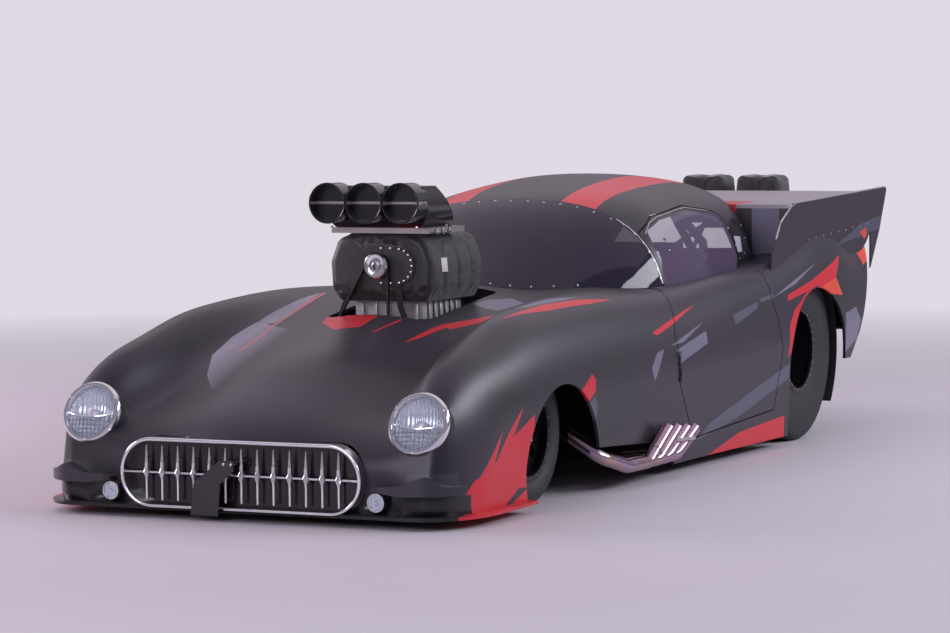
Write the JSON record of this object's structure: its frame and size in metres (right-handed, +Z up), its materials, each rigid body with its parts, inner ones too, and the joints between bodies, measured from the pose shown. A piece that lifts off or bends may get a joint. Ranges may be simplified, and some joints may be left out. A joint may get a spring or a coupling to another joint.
{
  "type": "drag racing car",
  "caption": "Low full-bodied drag racing car with a supercharged open engine, swept side exhausts, wide rear tyres, a tail deck between spill plates and a wheelie bar.",
  "frame": {"origin": "on the floor under the middle of the car's overall length and width", "axes": "+X ahead along the car, +Y to the driver's left, +Z up"},
  "size_m": [5.572, 2.036, 1.306],
  "materials": {
    "body_paint": "satin",
    "black_paint": "gloss",
    "carbon_plate": "gloss",
    "deck_alloy": "brushed",
    "chrome_trim": "polished",
    "frame_steel": "satin",
    "header_steel": "heat tinted",
    "engine_alloy": "cast",
    "hat_black": "satin",
    "blanket_cloth": "matt",
    "belt_rubber": "matt",
    "tyre_rubber": "matt",
    "rim_alloy": "anodised",
    "axle_steel": "machined",
    "window_pane": "tinted",
    "lamp_lens": "clear",
    "chute_cloth": "matt",
    "seat_shell": "matt",
    "wheel_rubber": "matt",
    "floor_alloy": "matt"
  },
  "bodies": {
    "chassis": {"front_clip": "body_paint", "body_shell": "body_paint", "rear_deck": "deck_alloy", "spill_plate_left": "carbon_plate", "spill_plate_right": "carbon_plate", "windscreen": "window_pane", "rear_window": "window_pane", "grille": "chrome_trim", "timing_plate": "black_paint", "headlamp_left": "lamp_lens", "headlamp_right": "lamp_lens", "parking_lamp_left": "lamp_lens", "parking_lamp_right": "lamp_lens", "chassis_frame": "frame_steel", "firewall": "floor_alloy", "floor_pan": "floor_alloy", "seat": "seat_shell", "engine_block": "engine_alloy", "supercharger": "blanket_cloth", "blower_drive": "belt_rubber", "injector_hat": "hat_black", "header_left": "header_steel", "header_right": "header_steel", "drivetrain": "engine_alloy", "rear_axle": "axle_steel", "wheelie_bar": "frame_steel", "parachutes": "chute_cloth"},
    "left_door": {"door_left": "body_paint", "door_window_left": "window_pane"},
    "right_door": {"door_right": "body_paint", "door_window_right": "window_pane"},
    "steering": {"steering_wheel": "wheel_rubber"},
    "rack": {"tie_rods": "axle_steel"},
    "left_knuckle": {"knuckle_left": "axle_steel"},
    "right_knuckle": {"knuckle_right": "axle_steel"},
    "left_front_wheel": {"front_tyre_left": "tyre_rubber", "front_rim_left": "rim_alloy"},
    "right_front_wheel": {"front_tyre_right": "tyre_rubber", "front_rim_right": "rim_alloy"},
    "rear_wheels": {"rear_tyre_left": "tyre_rubber", "rear_rim_left": "rim_alloy", "rear_tyre_right": "tyre_rubber", "rear_rim_right": "rim_alloy"},
    "wheelie_rollers": {"wheelie_wheels": "wheel_rubber"}
  },
  "joints": [
    {"name": "left_door_hinge", "type": "hinge", "parent": "chassis", "child": "left_door", "pos_m": [0.487, 0.949, 0.5], "axis": [0, 0, -1], "range_deg": [0, 60]},
    {"name": "right_door_hinge", "type": "hinge", "parent": "chassis", "child": "right_door", "pos_m": [0.487, -0.949, 0.5], "axis": [0, 0, 1], "range_deg": [0, 60]},
    {"name": "steering_column", "type": "hinge", "parent": "chassis", "child": "steering", "pos_m": [0.18, 0.33, 0.8], "axis": [-0.9272, 0, 0.3746], "range_deg": [-120, 120]},
    {"name": "left_kingpin", "type": "hinge", "parent": "chassis", "child": "left_knuckle", "pos_m": [1.78, 0.66, 0.15], "axis": [0, -0.1392, 0.9903], "range_deg": [-18, 18]},
    {"name": "right_kingpin", "type": "hinge", "parent": "chassis", "child": "right_knuckle", "pos_m": [1.78, -0.66, 0.15], "axis": [0, 0.1392, 0.9903], "range_deg": [-18, 18]},
    {"name": "rack_slide", "type": "slide", "parent": "chassis", "child": "rack", "axis": [0, 1, 0], "range_m": [-0.0346, 0.0346]},
    {"name": "left_front_spin", "type": "hinge", "parent": "left_knuckle", "child": "left_front_wheel", "pos_m": [1.78, 0.76, 0.286], "axis": [0, 1, 0], "continuous": true},
    {"name": "right_front_spin", "type": "hinge", "parent": "right_knuckle", "child": "right_front_wheel", "pos_m": [1.78, -0.76, 0.286], "axis": [0, 1, 0], "continuous": true},
    {"name": "rear_spin", "type": "hinge", "parent": "chassis", "child": "rear_wheels", "pos_m": [-1.141, 0, 0.438], "axis": [0, 1, 0], "continuous": true},
    {"name": "wheelie_spin", "type": "hinge", "parent": "chassis", "child": "wheelie_rollers", "pos_m": [-2.731, 0, 0.1], "axis": [0, 1, 0], "continuous": true}
  ],
  "couplings": [
    {"joint": "left_kingpin", "follows": "steering_column", "ratio": 0.15},
    {"joint": "right_kingpin", "follows": "steering_column", "ratio": 0.15},
    {"joint": "rack_slide", "follows": "steering_column", "m_per_rad": 0.0165}
  ]
}
